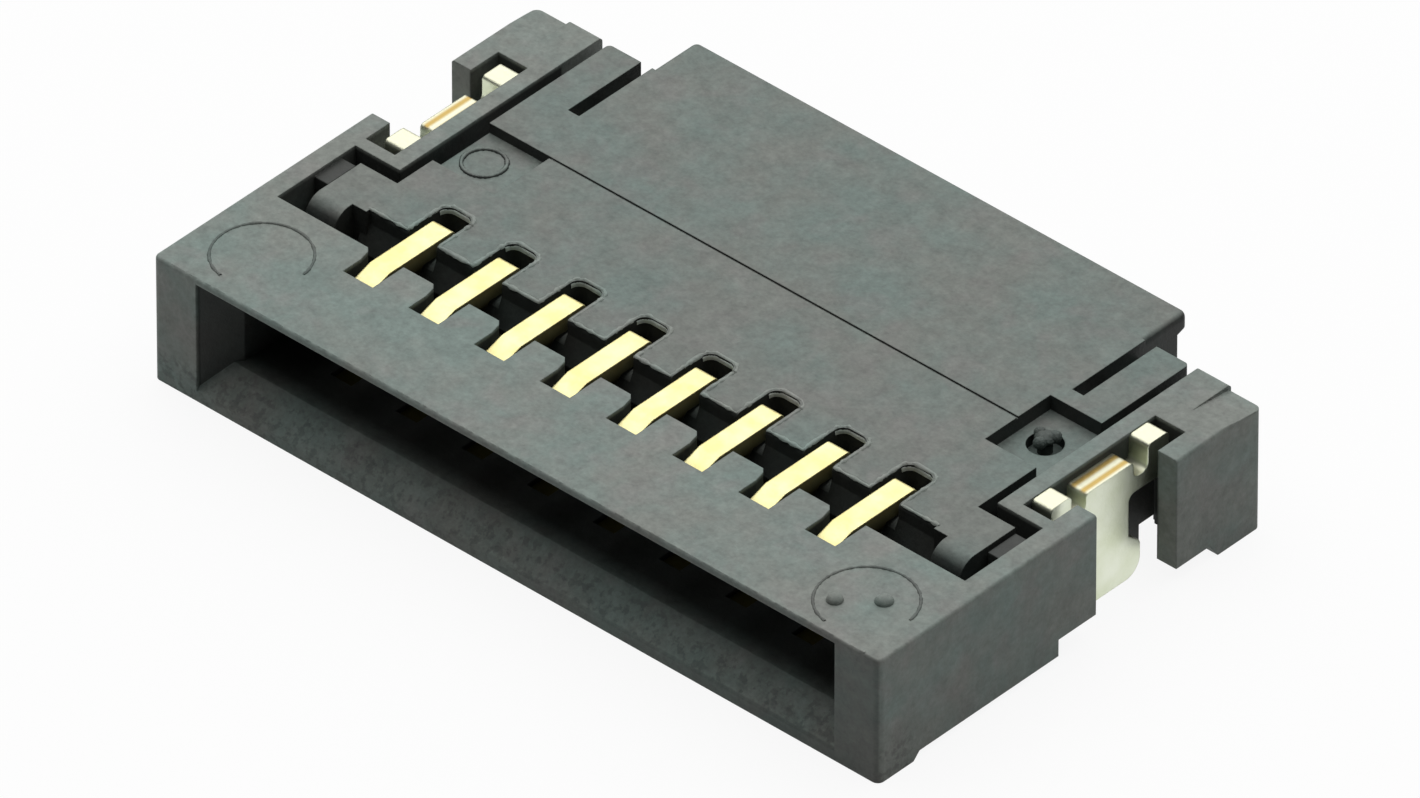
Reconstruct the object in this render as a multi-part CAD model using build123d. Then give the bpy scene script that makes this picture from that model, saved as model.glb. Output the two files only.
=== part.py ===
import os

from build123d import *

# Flat-flex connector for a printed board, all sizes in millimetres.
# X runs along the contact row, Y from the cable mouth to the rear, Z up from the board.
# Each piece is drawn with the mouth at Y = 0, then moved forward by half the overall depth,
# so that the origin lies on the board under the middle of the whole connector.

# Contact row and cable
ways = 8
pitch = 0.5
flex_width = pitch * (ways + 1)
flex_thickness = 0.3

# Outer form of the housing
body_height = 0.86
body_depth = 3.18
cheek = 0.5
half_width = flex_width / 2 + cheek
edge_round = 0.02
corner_round = 0.045

# Cap over the mouth
cap_depth = 0.87
stop_wall = 0.08
lip_thickness = 0.035
lead_depth = 0.19
ramp_foot = 0.07
floor_top = 0.2
slot_side_gap = 0.02
mouth_flare = 0.15
slot_floor = floor_top + 0.03
slot_roof = slot_floor + flex_thickness + 0.1

# Arms beside the flap
arm_width = 0.485
side_wall = 0.145
well_length = 0.645
cross_wall = 0.085
shield_length = 0.2
rear_shield = 0.23
rear_block = 0.48
rail_width = 0.115
rib_overhang = 0.02
rib_width = 0.235
pad_drop = 0.03
pad_length = 0.31
arm_face = half_width - arm_width
rail_face = arm_face + rail_width
wall_face = half_width - side_wall
well_end = cap_depth + well_length
pocket_start = well_end + cross_wall
pocket_end = body_depth - rear_block
opening_start = pocket_start + shield_length
opening_end = pocket_end - rear_shield

# Underside and feet
front_foot = 0.29
foot_rise = 0.05
shield_rise = 0.165
block_rise = 0.1
rear_foot = 0.36
floor_end = body_depth - 0.61

# Stamped contacts
strip = 0.15
beam_height = 0.1
beam_drop = 0.02
beam_top = body_height - beam_drop
beam_under = beam_top - beam_height
groove_side_gap = 0.005
slot_width = 0.227
slot_start = 0.615
tail_end = body_depth + 0.12
tail_height = 0.12
seat_bottom = 0.08

# Lever that locks the cable
cam_height = 0.13
cam_width = 0.1
run_gap = 0.02
axis_y = cap_depth + 0.315
axis_z = beam_under - run_gap - cam_height
lever_drop = 0.01
lever_top = body_height - lever_drop
lever_thickness = 0.28
lever_under = lever_top - lever_thickness
lever_front = axis_y - 0.04
lever_side_gap = 0.065
lever_half = arm_face - lever_side_gap
window_width = 0.215
window_reach = 0.285
ear_reach = 0.225
ear_rear = 0.24
ear_half = lever_half + 0.28
flap_end = 3.545
lip_height = 0.12
lip_length = 0.09
finger_width = 0.245
split_width = 0.085
split_length = 0.61
flap_half = lever_half - finger_width - split_width
finger_end = flap_end - 0.36
split_start = finger_end - split_length
mark_start = axis_y + 0.533
mark_end = mark_start + 0.47
gate_start = axis_y + 0.725
gate_end = gate_start + 0.544

# Hold-down tabs
tab_strip = 0.145
tab_top = body_height - 0.005
tab_start = pocket_start + 0.07
tab_end = pocket_end - 0.05

# Whole connector from the mouth to its rearmost piece
overall_depth = max(flap_end, tail_end, body_depth + rib_overhang)


def block(x0, x1, y0, y1, z0, z1):
    """A plain block between two corners."""
    middle = Pos((x0 + x1) / 2, (y0 + y1) / 2, (z0 + z1) / 2)
    return middle * Box(x1 - x0, y1 - y0, z1 - z0)


def outline(points, rounds=()):
    """A flat shape from (y, z) points, with the corners named in rounds made round."""
    shape = make_face(Polyline(*points, close=True))
    for y, z, radius in rounds:
        corner = min(shape.vertices(), key=lambda v: (v.X - y) ** 2 + (v.Y - z) ** 2)
        shape = fillet(corner, radius)
    return shape


def sideways(shape, x0, x1):
    """Runs a flat (y, z) shape along X from x0 to x1."""
    return extrude(Plane.YZ.offset(x0) * shape, amount=x1 - x0, dir=(1, 0, 0))


def both_sides(solid):
    """The solid and its mirror image across the middle of the row."""
    return solid + mirror(solid, Plane.YZ)


def row():
    """Middle of each contact along X."""
    first = -pitch * (ways - 1) / 2
    return [first + pitch * k for k in range(ways)]


def contact_outline():
    """Side view of one contact: sprung upper beam, web, cradle for the cam and solder tail."""
    web_front = cap_depth + 0.03
    web_back = axis_y - cam_width - 0.055
    tip = lead_depth + 0.22
    point = tip + 0.07
    bend = cap_depth - 0.07
    slope = 0.25
    hang = 0.165
    tip_top = beam_top - (bend - tip) * slope
    hook_end = axis_y + 0.155
    cradle = axis_z - cam_height - run_gap - 0.02
    post = axis_y + cam_height + run_gap + 0.02
    post_top = cradle + 0.07
    points = [
        (web_front, floor_top),
        (web_front, beam_under - 0.03),
        (bend, beam_under - 0.02),
        (point + 0.1, tip_top - hang / 2),
        (point, tip_top - hang),
        (tip, tip_top - hang / 2),
        (tip, tip_top - 0.02),
        (bend, beam_top),
        (hook_end, beam_top),
        (hook_end, beam_under),
        (web_back + 0.05, beam_under),
        (web_back, beam_under - 0.05),
        (web_back, cradle),
        (post, cradle),
        (post, post_top),
        (post + 0.08, post_top),
        (post + 0.2, floor_top),
        (floor_end + 0.03, floor_top),
        (floor_end + 0.13, tail_height),
        (tail_end, tail_height),
        (tail_end, 0),
        (floor_end + 0.02, 0),
        (floor_end + 0.02, seat_bottom),
        (lead_depth + 0.3, seat_bottom),
        (lead_depth + 0.3, floor_top),
    ]
    rounds = [
        (hook_end, beam_top, 0.04),
        (hook_end, beam_under, 0.015),
        (point, tip_top - hang, 0.04),
        (web_back, cradle, 0.04),
        (post, cradle, 0.04),
        (tail_end, tail_height, 0.04),
        (floor_end + 0.02, seat_bottom, 0.02),
    ]
    return outline(points, rounds)


def make_contact(x):
    """One gold-plated contact stamped from strip and stood on edge."""
    return sideways(contact_outline(), x - strip / 2, x + strip / 2)


def housing_shell():
    """The outer block with its rounded corners, cut to the stepped underside and feet."""
    body = block(-half_width, half_width, 0, body_depth, 0, body_height)
    body = fillet(body.edges().filter_by(Axis.Z), corner_round)
    body = fillet(body.faces().sort_by(Axis.Z)[-1].edges(), edge_round)

    # Raised underside behind the front foot
    middle = [
        (front_foot, -1),
        (front_foot, 0),
        (front_foot + foot_rise, foot_rise),
        (floor_end, foot_rise),
        (floor_end, -1),
    ]
    body -= sideways(outline(middle), -half_width - 1, half_width + 1)

    # Higher underside of the shield walls, arms and rear blocks
    slant = 0.07
    side = [
        (opening_start - 0.31, -1),
        (opening_start - 0.31, shield_rise),
        (opening_end - 0.02, shield_rise),
        (opening_end - 0.02, block_rise),
        (body_depth - rear_foot - slant, block_rise),
        (body_depth - rear_foot, 0),
        (body_depth - rear_foot, -1),
    ]
    body -= both_sides(sideways(outline(side), rail_face, half_width + 1))

    # Rails run on above the board behind the floor
    rail_under = block(arm_face - 0.2, rail_face, floor_end, body_depth - rear_foot, -1, shield_rise)
    body -= both_sides(rail_under)
    return body


def housing_mouth():
    """Cable slot with its ramp below, sloped roof above and flared sides."""
    slot_half = flex_width / 2 + slot_side_gap
    depth = cap_depth - stop_wall
    profile = [
        (-1, ramp_foot),
        (0, ramp_foot),
        (lead_depth, slot_floor),
        (depth, slot_floor),
        (depth, slot_roof),
        (lead_depth + 0.1, slot_roof),
        (0, body_height - lip_thickness),
        (-1, body_height - lip_thickness),
    ]
    slot = sideways(outline(profile), -slot_half, slot_half)
    flare = [
        (-slot_half, lead_depth + 0.05),
        (-slot_half - mouth_flare, 0.03),
        (-slot_half - mouth_flare, -1),
        (slot_half + mouth_flare, -1),
        (slot_half + mouth_flare, 0.03),
        (slot_half, lead_depth + 0.05),
    ]
    wedge = extrude(make_face(Polyline(*flare, close=True)), amount=body_height, dir=(0, 0, 1))
    reach = slot_half + mouth_flare
    return slot + (wedge & sideways(outline(profile), -reach, reach))


def housing_arm_cuts():
    """Bay for the lever, wells for its ears, pockets for the tabs and the side openings."""
    top = body_height + 1
    bay = block(-arm_face, arm_face, cap_depth, body_depth + 1, floor_top, top)
    bay += block(-arm_face, arm_face, floor_end, body_depth + 1, -1, top)

    well = block(arm_face - 0.1, wall_face, cap_depth, well_end, floor_top, top)
    # Each saddle starts close to the axis, so that the ear's top corner swings down in front of it
    saddle_start = axis_y - 0.05
    saddle_top = axis_z - 0.1
    saddle = block(arm_face + 0.01, ear_half + 0.03, saddle_start, well_end, 0, saddle_top)
    bearing = Pos(0, axis_y, axis_z) * Rot(0, 90, 0) * Cylinder(ear_reach + 0.015, 4 * half_width)
    well -= saddle - bearing
    ledge = block(ear_half + run_gap, wall_face + 0.1, axis_y - 0.01, axis_y + ear_rear - 0.02,
                  axis_z, body_height - 0.03)
    well -= ledge

    pocket = block(rail_face, wall_face, pocket_start, pocket_end, -1, top)
    opening = block(rail_face, half_width + 1, opening_start, opening_end, -1, top)
    return bay + both_sides(well) + both_sides(pocket) + both_sides(opening)


def contact_grooves():
    """Grooves for the contacts in the floor and stop wall, and the slots in the cap."""
    cut = None
    tooth_flare = 0.045
    for x in row():
        fit = strip / 2 + groove_side_gap
        lower = block(x - fit, x + fit, lead_depth + 0.28, floor_end + 1, seat_bottom, floor_top + 0.1)
        rear = block(x - fit, x + fit, cap_depth - stop_wall - 0.01, cap_depth + 0.01, floor_top, beam_top)
        wide = slot_width / 2
        upper = block(x - wide, x + wide, lead_depth + 0.15, slot_start + 0.01,
                      slot_roof - 0.1, body_height - 0.05)
        open_part = block(x - wide, x + wide, slot_start, cap_depth + 0.01, slot_roof - 0.1, body_height + 1)
        corner = [
            (x - wide + 0.01, cap_depth - 0.13),
            (x - wide + 0.01, cap_depth + 0.01),
            (x - wide - tooth_flare, cap_depth + 0.01),
            (x - wide - tooth_flare, cap_depth),
            (x - wide - tooth_flare * 0.4, cap_depth - 0.03),
            (x - wide, cap_depth - 0.11),
        ]
        face = Plane.XY.offset(slot_roof) * make_face(Polyline(*corner, close=True))
        flare = extrude(face, amount=body_height, dir=(0, 0, 1))
        piece = lower + rear + upper + open_part + flare
        cut = piece if cut is None else cut + piece
    return cut


def make_housing():
    """Moulded body: cap, floor, arms, wells and feet in one piece."""
    body = housing_shell()
    body -= housing_mouth()
    body -= housing_arm_cuts()
    body -= contact_grooves()

    # Rear end of each arm: inner rib standing out, outer pad that slopes down beside it
    rib_out = arm_face + rib_width
    pad = outline([
        (body_depth - pad_length, body_height),
        (body_depth + 1, body_height - pad_drop * (1 + 1 / pad_length)),
        (body_depth + 1, body_height + 1),
        (body_depth - pad_length, body_height + 1),
    ])
    body -= both_sides(sideways(pad, rib_out, half_width + 1))
    rib = block(arm_face, rib_out, body_depth - 0.1, body_depth + rib_overhang, shield_rise, body_height)
    rib = fillet(rib.edges().filter_by(Axis.X).sort_by(Axis.Y)[-2:], 0.03)
    body += both_sides(rib)

    # Ledges that carry the fingers of the closed lever
    ledge_start = body_depth - 0.32
    ledge_end = body_depth - 0.02
    ledge = outline([
        (ledge_start, lever_under - 0.11),
        (ledge_start, lever_under - run_gap / 2),
        (ledge_end, lever_under - run_gap / 2),
        (ledge_end, lever_under - 0.11),
    ])
    body += both_sides(sideways(ledge, arm_face - 0.2, arm_face + 0.02))
    return body


def lever_plate():
    """Flap, front bar and split fingers of the lever, without windows or ears."""
    profile = [
        (lever_front, lever_top),
        (flap_end, lever_top),
        (flap_end, lever_top - lip_height),
        (flap_end - lip_length, lever_top - lip_height - 0.03),
        (flap_end - lip_length, lever_under),
        (axis_y + 0.06, lever_under),
        (axis_y, axis_z - cam_height),
        (axis_y - 0.08, axis_z - cam_height + 0.03),
        (axis_y - cam_width - 0.01, axis_z),
        (lever_front, lever_top - 0.1),
    ]
    rounds = [
        (lever_front, lever_top, 0.03),
        (flap_end, lever_top, 0.03),
        (flap_end, lever_top - lip_height, 0.02),
    ]
    plate = sideways(outline(profile, rounds), -lever_half, lever_half)

    # Behind the fingers only the flap goes on
    beside = block(flap_half, lever_half + 1, finger_end, flap_end + 1, 0, body_height + 1)
    plate -= both_sides(beside)
    plate = fillet([e for e in plate.edges().filter_by(Axis.Z)
                    if abs(abs(e.center().X) - lever_half) < 0.001
                    and abs(e.center().Y - finger_end) < 0.001], 0.03)
    plate = fillet([e for e in plate.edges().filter_by(Axis.Z)
                    if abs(abs(e.center().X) - flap_half) < 0.001
                    and e.center().Y > flap_end - 0.05], 0.045)

    # Split between flap and finger, shallower near its open end
    split = block(flap_half, flap_half + split_width, split_start, finger_end + 1, 0, body_height + 1)
    split -= block(0, lever_half, finger_end - 0.3, finger_end - 0.05, 0, lever_top - 0.1)
    plate -= both_sides(split)
    return plate


def lever_ears():
    """Trunnions beside the bar: round below and in front, square behind, joined behind its front."""
    ear = outline([
        (axis_y - ear_reach, axis_z),
        (axis_y - ear_reach, lever_top),
        (axis_y + ear_rear, lever_top),
        (axis_y + ear_rear, axis_z),
    ], [(axis_y - ear_reach, lever_top, ear_reach * 0.58), (axis_y + ear_rear, axis_z, 0.03)])
    inner = arm_face - 0.01
    solid = sideways(ear, inner, ear_half)
    round_part = Pos((inner + ear_half) / 2, axis_y, axis_z) * Rot(0, 90, 0)
    solid += round_part * Cylinder(ear_reach, ear_half - inner)
    neck = block(lever_half - 0.05, inner + 0.05, axis_y - 0.07, axis_y + ear_rear,
                 axis_z - 0.05, lever_top)
    return both_sides(solid + neck)


def lever_windows():
    """Window for each contact hook, rounded behind and crossed low down by the cam."""
    cut = None
    reach = axis_y + window_reach
    for x in row():
        window = block(x - window_width / 2, x + window_width / 2, axis_y - 1, reach, 0, body_height + 1)
        window = fillet(window.edges().filter_by(Axis.Z).sort_by(Axis.Y)[-2:], window_width * 0.3)
        cam = Pos(x, axis_y, axis_z) * Rot(0, 90, 0)
        window -= cam * extrude(Ellipse(cam_height, cam_width), amount=window_width, both=True)
        cut = window if cut is None else cut + window
    return cut


def lever_marks():
    """Pit of the mould gate, pad of the cavity mark and the fine line across the flap."""
    gate_x = flap_half - 0.055
    gate = block(gate_x, lever_half + 1, gate_start, gate_end, lever_top - 0.1, body_height + 1)
    gate_pit = Pos(gate_x + 0.19, gate_start + 0.29, lever_top - 0.12) * Cylinder(0.11, 0.1)
    gate_stub = Pos(gate_x + 0.175, gate_start + 0.305, lever_top - 0.13) * Cylinder(0.045, 0.14)
    mark_x = -flap_half + 0.142
    mark = block(-lever_half - 1, mark_x, mark_start, mark_end, lever_top - 0.07, body_height + 1)
    line = block(mark_x - 0.01, gate_x + 0.01, mark_end - 0.016, mark_end, lever_top - 0.012, body_height + 1)
    return gate + (gate_pit - gate_stub) + mark + line


def make_lever():
    """Moulded lever in one piece: flap, fingers, bar with cams, and ears."""
    lever = lever_plate() + lever_ears()
    lever -= lever_windows()
    lever -= lever_marks()
    return lever


def tab_outline():
    """Side view of a hold-down tab: two prongs, a crown between them and a soldered foot."""
    length = tab_end - tab_start
    prong = length * 0.175
    notch = length * 0.124
    notch_floor = tab_top - 0.17
    shoulder = tab_top - 0.27
    crown_top = tab_top - 0.055
    stem_start = tab_start + length * 0.082
    stem_end = tab_start + length * 0.663
    foot_end = stem_end + length * 0.1
    heel_round = min(0.12, length * 0.12)
    top_round = 0.03
    notch_round = min(0.05, notch * 0.42)
    front_notch = tab_start + prong
    crown_start = front_notch + notch
    rear_notch = tab_end - prong
    crown_end = rear_notch - notch
    points = [
        (tab_start, tab_top),
        (front_notch, tab_top),
        (front_notch, notch_floor),
        (crown_start, notch_floor),
        (crown_start, crown_top),
        (crown_end, crown_top),
        (crown_end, notch_floor),
        (rear_notch, notch_floor),
        (rear_notch, tab_top),
        (tab_end, tab_top),
        (tab_end, shoulder),
        (stem_end, shoulder),
        (stem_end, 0.3),
        (foot_end, 0.22),
        (foot_end, 0),
        (stem_start, 0),
        (stem_start, shoulder),
        (tab_start, shoulder),
    ]
    rounds = [
        (tab_start, tab_top, top_round),
        (front_notch, tab_top, top_round),
        (front_notch, notch_floor, notch_round),
        (crown_start, notch_floor, notch_round),
        (crown_start, crown_top, top_round),
        (crown_end, crown_top, top_round),
        (crown_end, notch_floor, notch_round),
        (rear_notch, notch_floor, notch_round),
        (rear_notch, tab_top, top_round),
        (tab_end, tab_top, top_round),
        (tab_end, shoulder, notch_round),
        (stem_end, shoulder, notch_round),
        (foot_end, 0, heel_round),
        (foot_end, 0.22, notch_round),
        (stem_start, 0, notch_round),
    ]
    return outline(points, rounds)


def make_tab():
    """Right-hand tab, a tinned plate pressed into its pocket against the rail."""
    return sideways(tab_outline(), rail_face, rail_face + tab_strip)


def save(solid, name):
    """Moves a piece to the shared origin and writes it out."""
    export_step(Pos(0, -overall_depth / 2, 0) * solid, f"parts/{name}.step")


os.makedirs("parts", exist_ok=True)
save(make_housing(), "housing")
save(make_lever(), "actuator")
for number, place in enumerate(row(), start=1):
    save(make_contact(place), f"contact_{number}")
right_tab = make_tab()
save(right_tab, "solder_tab_right")
save(mirror(right_tab, Plane.YZ), "solder_tab_left")
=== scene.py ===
import math
import random

import bmesh
import bpy
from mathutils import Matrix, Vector


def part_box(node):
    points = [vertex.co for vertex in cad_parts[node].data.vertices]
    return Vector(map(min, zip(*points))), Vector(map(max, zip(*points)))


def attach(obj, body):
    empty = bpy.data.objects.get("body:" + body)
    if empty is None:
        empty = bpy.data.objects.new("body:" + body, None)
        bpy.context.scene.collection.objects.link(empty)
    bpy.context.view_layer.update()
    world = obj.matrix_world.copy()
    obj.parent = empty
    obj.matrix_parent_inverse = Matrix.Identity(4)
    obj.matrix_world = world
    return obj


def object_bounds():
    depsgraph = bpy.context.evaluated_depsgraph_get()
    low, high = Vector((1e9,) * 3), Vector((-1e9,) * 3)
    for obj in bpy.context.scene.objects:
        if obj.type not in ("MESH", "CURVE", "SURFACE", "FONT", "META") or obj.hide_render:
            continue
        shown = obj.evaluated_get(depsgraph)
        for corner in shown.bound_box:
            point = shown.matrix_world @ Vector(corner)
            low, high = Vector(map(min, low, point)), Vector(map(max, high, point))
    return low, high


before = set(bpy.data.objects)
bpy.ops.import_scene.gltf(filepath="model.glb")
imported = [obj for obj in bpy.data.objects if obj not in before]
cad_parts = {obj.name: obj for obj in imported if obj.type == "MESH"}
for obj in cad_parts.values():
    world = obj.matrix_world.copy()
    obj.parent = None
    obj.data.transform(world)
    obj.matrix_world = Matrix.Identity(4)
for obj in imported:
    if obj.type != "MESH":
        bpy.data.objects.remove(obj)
cad_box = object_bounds()


# Housing.
# The black body of heat-proof plastic is moulded in one piece. Its skin is matt and finely grained,
# a little cloudy where the melt flowed, and its edges are as soft as the mould's cutters left them.

MM = 0.001


class Signal:
    """A value, colour or vector in a finish's nodes. Arithmetic on it adds Math nodes."""

    def __init__(self, tree, socket=None):
        self.tree = tree
        self.socket = socket

    def add(self, kind, settings=None, inputs=None, out=0):
        """Adds a node with its settings, then its inputs, and gives one of its outputs."""
        node = self.tree.nodes.new(kind)
        for name, value in (settings or {}).items():
            setattr(node, name, value)
        for name, value in (inputs or {}).items():
            if isinstance(value, Signal):
                self.tree.links.new(value.socket, node.inputs[name])
            else:
                node.inputs[name].default_value = value
        return Signal(self.tree, node.outputs[out])

    def maths(self, operation, *values):
        """Adds one Math node that works on these values in order."""
        return self.add("ShaderNodeMath", {"operation": operation}, dict(enumerate(values)))

    def __add__(self, other):
        return self.maths("ADD", self, other)

    def __radd__(self, other):
        return self.maths("ADD", other, self)

    def __sub__(self, other):
        return self.maths("SUBTRACT", self, other)

    def __rsub__(self, other):
        return self.maths("SUBTRACT", other, self)

    def __mul__(self, other):
        return self.maths("MULTIPLY", self, other)

    def __rmul__(self, other):
        return self.maths("MULTIPLY", other, self)

    def clipped(self, low, high):
        """Runs from 0 at low to 1 at high, and stays there beyond."""
        inputs = {"Value": self, "From Min": low, "From Max": high}
        return self.add("ShaderNodeMapRange", {"clamp": True}, inputs)

    def between(self, first, second):
        """Colour that goes from first to second as this value goes from 0 to 1."""
        return self.add("ShaderNodeMix", {"data_type": "RGBA"}, {0: self, 6: first, 7: second}, out=2)

    def noise(self, scale, detail=2.0, roughness=0.5, distortion=0.0):
        """Cloudy noise over this place, in lumps of about 1 / scale millimetres."""
        inputs = {"Vector": self, "Scale": scale, "Detail": detail, "Roughness": roughness,
                  "Distortion": distortion}
        return self.add("ShaderNodeTexNoise", None, inputs)


def new_finish(name):
    """An empty finish, with its shader and the place on the piece in millimetres."""
    material = bpy.data.materials.new(name)
    material.use_nodes = True
    shader = material.node_tree.nodes["Principled BSDF"]
    start = Signal(material.node_tree)
    metres = start.add("ShaderNodeTexCoord", None, None, "Object")
    place = start.add("ShaderNodeVectorMath", {"operation": "SCALE"}, {0: metres, "Scale": 1 / MM})
    return material, shader, place


def feed(shader, **values):
    """Sets the shader's sockets to numbers or colours, or links signals to them."""
    for name, value in values.items():
        socket = shader.inputs[name.replace("_", " ")]
        if isinstance(value, Signal):
            value.tree.links.new(value.socket, socket)
        else:
            socket.default_value = value


def dress(piece, material):
    """Gives the whole piece one finish."""
    piece.data.materials.clear()
    piece.data.materials.append(material)


def parts_of(vector):
    """The three numbers of a vector."""
    return [vector.add("ShaderNodeSeparateXYZ", None, {0: vector}, axis) for axis in range(3)]


def no_painted_shade(place, upward):
    """No painted shade: no part of the surface is darker than the rest."""
    return 0.0


def moulded_plastic(name, colour, edge, painted_shade_of=no_painted_shade):
    """Matt, finely grained plastic with soft edges, clouded by greenish and brownish tints, and darkened
    by painted shade where its shade function says.
    """
    painted_shade_strength = 0.8
    skin_depth = 3e-6
    material, shader, place = new_finish(name)
    facing = place.add("ShaderNodeTexCoord", None, None, "Normal")
    upward = parts_of(facing)[2].clipped(0.6, 0.98)
    cloud = place.noise(1.6, 3.0, 0.6).clipped(0.38, 0.62)
    patch = place.noise(4.2, 2.0, 0.5, 0.4).clipped(0.5, 0.68)
    flow = place.noise(6.0, 4.0, 0.65, 0.6)
    fleck = place.noise(14.0, 2.0, 0.6)
    grain = place.noise(38.0, 2.0, 0.6)
    speck = place.noise(95.0, 1.0)
    green = [colour * 0.84, colour * 1.08, colour * 0.98, 1.0]
    grey = [colour * 0.95, colour * 1.03, colour * 0.93, 1.0]
    brown = [colour * 1.06, colour * 1.0, colour * 0.96, 1.0]
    tint = (0.35 * patch).between(cloud.between(grey, green), brown)
    marbling = 0.17 + 0.55 * flow + 0.6 * grain + 0.51 * fleck
    # Painted shade: the shade function darkens the colour where it says a face lies in shade.
    level = marbling * (1.0 - painted_shade_strength * painted_shade_of(place, upward))
    shade = place.add("ShaderNodeVectorMath", {"operation": "SCALE"}, {0: tint, "Scale": level})
    soft = place.add("ShaderNodeBevel", {"samples": 6}, {"Radius": edge})
    relief = 0.5 * grain + 0.2 * speck + 1.2 * flow
    skin = {"Height": relief, "Distance": skin_depth, "Strength": 1.0, "Normal": soft}
    feed(shader,
         Base_Color=shade,
         Roughness=0.5 + 0.2 * grain,
         Specular_IOR_Level=0.3,
         Normal=place.add("ShaderNodeBump", None, skin))
    return material


mouth = cad_box[0].y / MM
inner_wall = 2.62
rear_pads = mouth + 2.87
cap_skin = 0.85
foot_top = 0.26
torn_reach = mouth + 0.3


def painted_shade_in_housing(place, upward):
    """Painted shade: faces in the mouth, wells and pockets are darkened toward black.

    The front face gets painted shade too, deeper toward the right, and looks torn along its foot.
    """
    x, y, z = parts_of(place)
    # Painted shade in the recesses: these masks pick faces inside the inner walls, behind the mouth's
    # front, before the rear pads and below the cap's skin.
    within = (inner_wall - place.maths("ABSOLUTE", x)).clipped(0.0, 0.02)
    inward = y - mouth
    steep = 1.0 - upward.clipped(0.0, 0.5)
    behind = place.maths("MAXIMUM", inward.clipped(0.1, 0.32), steep * inward.clipped(0.005, 0.03))
    before_pads = (rear_pads - y).clipped(0.0, 0.02)
    below = (cap_skin - z).clipped(0.0, 0.02)
    spots = place.noise(17.0, 3.0, 0.6).clipped(0.47, 0.6)
    torn = spots * (foot_top - z).clipped(0.0, 0.07) * (torn_reach - y).clipped(0.0, 0.05)
    # Painted shade on the front face, deeper toward the right.
    front = (0.02 - inward).clipped(0.0, 0.01) * x.clipped(-2.4, 2.4)
    torn_spots_and_front_shade = place.maths("MAXIMUM", 0.45 * torn, 0.5 * front)
    return place.maths("MAXIMUM", within * behind * before_pads * below, torn_spots_and_front_shade)


# The housing takes painted shade in its mouth, wells and pockets and along its front face.
body_plastic = moulded_plastic("housing_plastic", 0.184, 1.4e-5, painted_shade_in_housing)
dress(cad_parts["housing"], body_plastic)


# Mould marks of the housing.
# Ejector pins leave a fine raised ring near each end of the cap. The right one surrounds two small
# knobs, and a thin uneven burr runs along the lip where the mould halves met.

housing_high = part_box("housing")[1] / MM


def smooth_piece(name, mesh):
    """Puts a mesh into the scene as a piece with smooth faces."""
    for face in mesh.polygons:
        face.use_smooth = True
    piece = bpy.data.objects.new(name, mesh)
    bpy.context.scene.collection.objects.link(piece)
    return piece


def bead(name, path, width, height, rough, seed, closed=False):
    """A thin raised bead along a path in millimetres, half round and a little uneven."""
    steps = 5
    sunk = 0.15
    chance = random.Random(seed)
    points = [Vector(point) for point in path]
    count = len(points)
    corners = []
    for number, point in enumerate(points):
        before = points[(number - 1) % count] if closed or number > 0 else point
        after = points[(number + 1) % count] if closed or number < count - 1 else point
        along = (after - before).normalized()
        side = Vector((along.y, -along.x, 0.0)).normalized()
        swell = 1.0 + rough * chance.uniform(-1.0, 1.0)
        for step in range(steps + 1):
            turn = math.pi * step / steps
            out = side * (math.cos(turn) * width / 2 * swell)
            up = Vector((0.0, 0.0, math.sin(turn) * height * swell - height * sunk))
            corners.append((point + out + up) * MM)
    faces = []
    for number in range(count if closed else count - 1):
        first = number * (steps + 1)
        second = (number + 1) % count * (steps + 1)
        for step in range(steps):
            faces.append((first + step, first + step + 1, second + step + 1, second + step))
    mesh = bpy.data.meshes.new(name)
    mesh.from_pydata(corners, [], faces)
    mesh.validate()
    return smooth_piece(name, mesh)


def arc(x, y, z, radius, start, sweep, parts=72):
    """Points on a flat arc from one angle over a sweep, in degrees, with Y counted from the mouth."""
    turns = [math.radians(start + sweep * part / parts) for part in range(parts)]
    return [(x + radius * math.cos(turn), mouth + y + radius * math.sin(turn), z) for turn in turns]


def knob(name, x, y, z, radius, height, rough, seed):
    """A low round knob with a more or less lumpy skin."""
    chance = random.Random(seed)
    mesh = bpy.data.meshes.new(name)
    shape = bmesh.new()
    bmesh.ops.create_icosphere(shape, subdivisions=4, radius=1.0)
    for corner in shape.verts:
        lump = 1.0 + rough * chance.uniform(-1.0, 1.0)
        corner.co = Vector((x + corner.co.x * radius * lump,
                            mouth + y + corner.co.y * radius * lump,
                            z + corner.co.z * height * lump)) * MM
    shape.to_mesh(mesh)
    shape.free()
    return smooth_piece(name, mesh)


def finish(piece, material, body):
    """Dresses a piece and ties it to its body."""
    dress(piece, material)
    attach(piece, body)


cap_top = housing_high.z
# The pin rings take a darker plastic as painted shade for the shadowed far side of each pin mark; each
# ring is left open on its near side.
ring_shade_plastic = moulded_plastic("ring_shade_plastic", 0.1, 4e-6)
rings = {"left_pin_ring": (-2.3, 0.417, 0.297), "right_pin_ring": (2.32, 0.375, 0.3)}
ring_width = 0.02
ring_height = 0.008
for name, (x, y, radius) in rings.items():
    path = arc(x, y, cap_top, radius, 5.0, 260.0)
    ring = bead(name, path, ring_width, ring_height, 0.3, seed=len(name))
    finish(ring, ring_shade_plastic, "base")
knobs = {"rear_knob": (2.4, 0.43, 0.055), "front_knob": (2.19, 0.255, 0.05)}
knob_height = 0.04
for name, (x, y, radius) in knobs.items():
    pin_knob = knob(name, x, y, cap_top, radius, knob_height, 0.015, seed=len(name))
    finish(pin_knob, body_plastic, "base")

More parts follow.
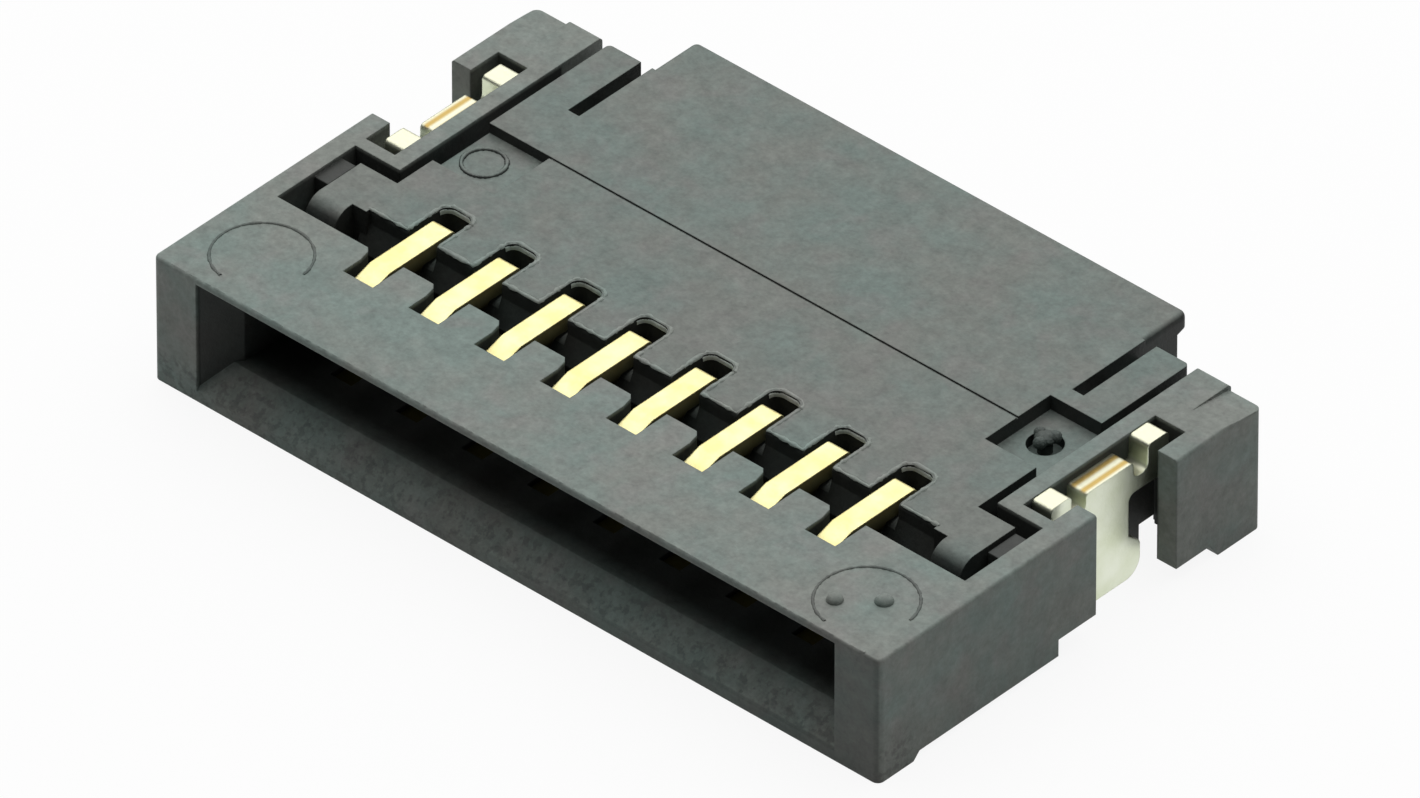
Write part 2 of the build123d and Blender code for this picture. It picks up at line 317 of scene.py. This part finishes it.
lip_half = housing_high.x - 0.12
lip_line = mouth + 0.018
lip_level = cap_top - 0.004
lip_steps = 240
lip_path = [(-lip_half + 2 * lip_half * step / lip_steps, lip_line, lip_level)
            for step in range(lip_steps + 1)]
lip_burr = bead("lip_burr", lip_path, 0.014, 0.006, 0.6, seed=11)
finish(lip_burr, body_plastic, "base")


# Contacts.
# Each of the eight is stamped from thin copper alloy, plated with gold over nickel and pushed into
# its groove from behind. The gold shows on the flat top of the upper beam, and its flanks get painted
# shade.


def gold_plating(name):
    """Pale satin gold, with painted shade in a near-black colour on the flanks below the tops, except on
    the tails behind the hooks.
    """
    painted_flank_shade = [0.05, 0.045, 0.012, 1.0]
    pale = [0.77, 0.72, 0.4, 1.0]
    worn = [0.7, 0.62, 0.29, 1.0]
    hook_end = mouth + 1.5
    edge = 1.2e-5
    skin_depth = 2e-6
    material, shader, place = new_finish(name)
    wear = place.noise(7.0, 3.0)
    fine = place.noise(60.0, 2.0)
    plated = wear.clipped(0.35, 0.65).between(pale, worn)
    x, y, z = parts_of(place)
    tail = (y - hook_end).clipped(0.0, 0.1)
    # Painted shade: below the tops the flanks take a near-black colour, except on the tails behind the
    # hooks.
    bright = place.maths("MAXIMUM", z.clipped(0.72, 0.81), tail)
    tint = bright.between(painted_flank_shade, plated)
    soft = place.add("ShaderNodeBevel", {"samples": 6}, {"Radius": edge})
    skin = {"Height": 0.6 * wear + 0.4 * fine, "Distance": skin_depth, "Strength": 1.0, "Normal": soft}
    feed(shader,
         Base_Color=tint,
         Metallic=1.0,
         Roughness=0.4 + 0.16 * fine,
         Normal=place.add("ShaderNodeBump", None, skin))
    return material


gold = gold_plating("gold_plate")
for name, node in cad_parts.items():
    if name.startswith("contact_"):
        dress(node, gold)


# Solder tabs.
# Two plates of stamped brass, tin plated, are pressed down into the arm pockets. They hold the
# connector on the board, with two prongs each that grip the pocket.

tab_low, tab_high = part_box("solder_tab_right")
tab_inner = tab_low.x / MM
tab_thickness = (tab_high.x - tab_low.x) / MM


def tin_plating(name):
    """Greyish white satin tin, duller on top, with two brown lines of bare metal on the plate's crown."""
    fresh = [0.84, 0.88, 0.74, 1.0]
    aged = [0.7, 0.75, 0.56, 1.0]
    dull = [0.6, 0.6, 0.46, 1.0]
    bare = [0.42, 0.3, 0.1, 1.0]
    edge = 1.2e-5
    skin_depth = 2e-6
    material, shader, place = new_finish(name)
    wear = place.noise(5.0, 3.0)
    fine = place.noise(50.0, 2.0)
    white = wear.clipped(0.3, 0.75).between(fresh, aged)
    x, y, z = parts_of(place)
    across = (place.maths("ABSOLUTE", x) - tab_inner) * (2.0 / tab_thickness)
    stripe = place.maths("PINGPONG", across, 0.5).clipped(0.12, 0.38)
    crown = z.clipped(0.76, 0.79) * (0.83 - z).clipped(0.0, 0.01)
    facing = place.add("ShaderNodeTexCoord", None, None, "Normal")
    upward = parts_of(facing)[2].clipped(0.4, 0.9)
    tint = (crown * stripe * upward).between(upward.between(white, dull), bare)
    soft = place.add("ShaderNodeBevel", {"samples": 6}, {"Radius": edge})
    skin = {"Height": 0.5 * wear + 0.5 * fine, "Distance": skin_depth, "Strength": 1.0, "Normal": soft}
    feed(shader,
         Base_Color=tint,
         Metallic=1.0,
         Roughness=0.34 + 0.16 * fine,
         Normal=place.add("ShaderNodeBump", None, skin))
    return material


tin = tin_plating("tin_plate")
for side in ("left", "right"):
    dress(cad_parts[f"solder_tab_{side}"], tin)


# Actuator.
# The lever that locks the cable is moulded in one piece from the same black plastic, in a slightly
# duller tone. It snaps in between the arms from above and turns on its two ears.


def painted_shade_beside_top(place, upward):
    """Painted shade on every face of the lever that doesn't look up."""
    return 1.0 - upward


# The lever takes painted shade on every face that doesn't look up.
lever_plastic = moulded_plastic("actuator_plastic", 0.153, 1.2e-5, painted_shade_beside_top)
dress(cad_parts["actuator"], lever_plastic)


# Mould marks of the actuator.
# A burr follows the front edge of the bar and runs round the windows, where the mould parts
# met; its lighter colour is a painted highlight, and so are the pale lips at the rear of each window. A
# plain ring marks the pad on the left, and the torn gate leaves a rough stub in its pit.

lever_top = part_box("actuator")[1].z / MM
bar_front = 1.155
window_half = 0.1075
window_rear = 1.47
corner_radius = 0.065
bar_end = 2.2
burr_inset = 0.014
lip_inset = 0.002


def window_path(x, inset):
    """Up the left edge of a window, round its rear and back down the right edge."""
    edge_steps = 12
    corner_steps = 6
    half = window_half + inset
    rear = window_rear + inset
    rise = (rear - corner_radius - bar_front) / edge_steps
    rises = [bar_front + rise * step for step in range(edge_steps + 1)]
    path = [(x - half, y) for y in rises]
    for middle, start in ((x - half + corner_radius, math.pi), (x + half - corner_radius, math.pi / 2)):
        for step in range(1, corner_steps + 1):
            turn = start - math.pi / 2 * step / corner_steps
            path.append((middle + corner_radius * math.cos(turn),
                         rear - corner_radius + corner_radius * math.sin(turn)))
    return path + [(x + half, y) for y in reversed(rises)]


contact_places = []
for name in sorted(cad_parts):
    if name.startswith("contact_"):
        low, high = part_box(name)
        contact_places.append((low.x + high.x) / 2 / MM)
tooth_steps = 10
front_path = []
edge = -bar_end
for x in contact_places + [bar_end + window_half]:
    tooth_end = x - window_half - burr_inset
    for step in range(1, tooth_steps):
        front_path.append((edge + (tooth_end - edge) * step / tooth_steps, bar_front))
    if x < bar_end:
        front_path += window_path(x, burr_inset)
        edge = x + window_half + burr_inset
burr_level = lever_top - 0.003
front_path = [(x, mouth + y, burr_level) for x, y in front_path]
window_burr = bead("window_burr", front_path, 0.024, 0.01, 0.6, seed=3)
# The burr's lighter plastic is a painted highlight along the edges.
burr_highlight_plastic = moulded_plastic("burr_highlight_plastic", 0.22, 4e-6)
finish(window_burr, burr_highlight_plastic, "lever")

rim_level = lever_top - 0.035
rim_width = 0.012
rim_height = 0.03
# Thin pale lips round the rear of each window are a painted highlight on the rim.
lip_highlight_plastic = moulded_plastic("lip_highlight_plastic", 0.42, 3e-6)
for number, x in enumerate(contact_places, start=1):
    rim = [(across, mouth + y, rim_level) for across, y in window_path(x, lip_inset)
           if y > window_rear - corner_radius]
    lip = bead(f"window_lip_{number}", rim, rim_width, rim_height, 0.1, seed=number)
    finish(lip, lip_highlight_plastic, "lever")

pad_level = lever_top - 0.07
pad_circle = arc(-2.03, 1.96, pad_level, 0.13, 0.0, 360.0)
pad_ring = bead("pad_ring", pad_circle, 0.03, 0.016, 0.2, seed=5, closed=True)
finish(pad_ring, lever_plastic, "lever")

lumps = {"gate_stub_middle": (1.99, 2.215, 0.06), "gate_stub_left": (1.94, 2.23, 0.036),
         "gate_stub_front": (2.0, 2.16, 0.038), "gate_stub_rear": (2.025, 2.26, 0.04)}
lump_level = lever_top - 0.075
lump_height = 0.035
torn_plastic = moulded_plastic("torn_plastic", 0.07, 4e-6)
for name, (x, y, radius) in lumps.items():
    lump = knob(name, x, y, lump_level, radius, lump_height, 0.09, seed=len(name))
    finish(lump, torn_plastic, "lever")


# Floor, light and camera.
# The connector stands on a plain pale floor under a large soft lamp above and behind it, and is seen
# from the front right and above through a long lens.


def white_floor(name):
    """A dull floor that looks white beside the object and keeps its shadow."""
    paint = [0.6, 0.6, 0.6, 1.0]
    white = [1.0, 1.0, 1.0, 1.0]
    share_of_white = 0.88
    material = bpy.data.materials.new(name)
    material.use_nodes = True
    tree = material.node_tree
    tree.nodes.clear()
    start = Signal(tree)
    ray = {kind: start.add("ShaderNodeLightPath", None, None, kind)
           for kind in ("Is Camera Ray", "Is Glossy Ray", "Is Transmission Ray")}
    seen = ray["Is Camera Ray"].maths("MAXIMUM", ray["Is Camera Ray"], ray["Is Glossy Ray"])
    seen = seen.maths("MAXIMUM", seen, ray["Is Transmission Ray"])
    dull = start.add("ShaderNodeBsdfDiffuse", None, {"Color": paint})
    bright = start.add("ShaderNodeEmission", None, {"Color": white, "Strength": 1.03})
    both = start.add("ShaderNodeMixShader", None, {0: share_of_white * seen, 1: dull, 2: bright})
    ending = tree.nodes.new("ShaderNodeOutputMaterial")
    tree.links.new(both.socket, ending.inputs["Surface"])
    return material


floor_size = 2.0
corners = [(x * floor_size, y * floor_size, 0.0) for x, y in ((-1, -1), (1, -1), (1, 1), (-1, 1))]
floor_mesh = bpy.data.meshes.new("floor")
floor_mesh.from_pydata(corners, [], [(0, 1, 2, 3)])
floor = bpy.data.objects.new("floor", floor_mesh)
bpy.context.scene.collection.objects.link(floor)
dress(floor, white_floor("pale_floor"))

world = bpy.data.worlds.new("studio")
world.use_nodes = True
sky = world.node_tree.nodes["Background"]
sky.inputs["Color"].default_value = [1.0, 1.0, 1.0, 1.0]
sky.inputs["Strength"].default_value = 0.07
bpy.context.scene.world = world


def seen_from(azimuth, elevation):
    """Direction from the connector to a place at that side and height, in degrees."""
    turn = math.radians(azimuth)
    rise = math.radians(elevation)
    return Vector((math.sin(turn) * math.cos(rise), -math.cos(turn) * math.cos(rise), math.sin(rise)))


def softbox(name, azimuth, elevation, distance, size, power):
    """A square soft lamp that points at the connector from that side and height."""
    back = seen_from(azimuth, elevation)
    light = bpy.data.lights.new(name, "AREA")
    light.shape = "SQUARE"
    light.size = size
    light.energy = power
    lamp = bpy.data.objects.new(name, light)
    lamp.location = back * distance
    lamp.rotation_mode = "QUATERNION"
    lamp.rotation_quaternion = back.to_track_quat("Z", "Y")
    bpy.context.scene.collection.objects.link(lamp)
    return lamp


softbox("top_lamp", azimuth=216.0, elevation=64.0, distance=0.06, size=0.13, power=0.101)

view_azimuth = 42.456
view_elevation = 37.567
view_distance = 0.2
picture_width = 0.0079533
toward_camera = seen_from(view_azimuth, view_elevation)
view_turn = math.radians(view_azimuth)
picture_right = Vector((math.cos(view_turn), math.sin(view_turn), 0.0))
picture_up = toward_camera.cross(picture_right)
middle = (cad_box[0] + cad_box[1]) / 2
aim = middle - 0.10 * MM * picture_right - 0.13 * MM * picture_up
lens = bpy.data.cameras.new("camera")
lens.sensor_width = 36.0
lens.lens = lens.sensor_width * view_distance / picture_width
lens.clip_start = view_distance * 0.5
lens.clip_end = view_distance * 20.0
camera = bpy.data.objects.new("camera", lens)
camera.location = aim + toward_camera * view_distance
camera.rotation_mode = "QUATERNION"
camera.rotation_quaternion = toward_camera.to_track_quat("Z", "Y")
bpy.context.scene.collection.objects.link(camera)
bpy.context.scene.camera = camera
bpy.context.scene.view_settings.view_transform = "Standard"
